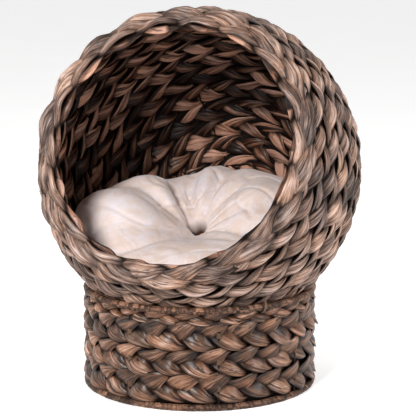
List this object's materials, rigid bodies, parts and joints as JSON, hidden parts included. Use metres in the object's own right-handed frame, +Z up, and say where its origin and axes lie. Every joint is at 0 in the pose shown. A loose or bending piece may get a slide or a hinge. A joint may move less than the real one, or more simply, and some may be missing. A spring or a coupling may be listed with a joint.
{
  "type": "wicker pet bed basket",
  "caption": "Raised round pet bed: a braided wicker ball with a tilted round mouth on a braided drum stand, with a loose tufted plush cushion inside.",
  "frame": {"origin": "the centre of the stand on the floor", "axes": "+Z up, the mouth of the ball faces -Y"},
  "size_m": [0.4418, 0.4131, 0.5185],
  "materials": {
    "ball_leaf": "braided dried leaf, grey-brown with pale washed crowns, matte",
    "stand_leaf": "braided dried leaf, warm brown with pale washed crowns, matte",
    "leaf_wrap": "narrow dried leaf strip wound tight, satin",
    "frame_wire": "black painted steel wire",
    "twine": "dark waxed twine",
    "cushion_plush": "short pile cream plush",
    "cushion_fibre": "loose polyester fibre",
    "tuft_thread": "brown stitching thread"
  },
  "bodies": {
    "basket": {"ball_back_coil": "ball_leaf", "ball_back_hoop": "frame_wire", "ball_braid_01": "ball_leaf", "ball_braid_02": "ball_leaf", "ball_braid_03": "ball_leaf", "ball_braid_04": "ball_leaf", "ball_braid_05": "ball_leaf", "ball_braid_06": "ball_leaf", "ball_braid_07": "ball_leaf", "ball_braid_08": "ball_leaf", "ball_braid_09": "ball_leaf", "ball_braid_10": "ball_leaf", "ball_braid_11": "ball_leaf", "ball_braid_12": "ball_leaf", "ball_braid_13": "ball_leaf", "ball_braid_14": "ball_leaf", "ball_lip_braid": "ball_leaf", "ball_mouth_hoop": "frame_wire", "ball_ribs": "frame_wire", "ball_to_stand_lashings": "twine", "stand_bottom_hoop": "frame_wire", "stand_bottom_wrap": "leaf_wrap", "stand_braid_1": "stand_leaf", "stand_braid_2": "stand_leaf", "stand_braid_3": "stand_leaf", "stand_ties": "twine", "stand_top_braid": "stand_leaf", "stand_top_hoop": "frame_wire", "stand_top_wrap": "leaf_wrap", "stand_uprights": "frame_wire"},
    "cushion": {"cushion_cover": "cushion_plush", "cushion_filling": "cushion_fibre", "cushion_tuft_stitch": "tuft_thread"}
  },
  "joints": [
    {"name": "cushion_lift_out", "type": "slide", "parent": "basket", "child": "cushion", "axis": [0, -0.7071, 0.7071], "range_m": [0, 0.36]}
  ]
}
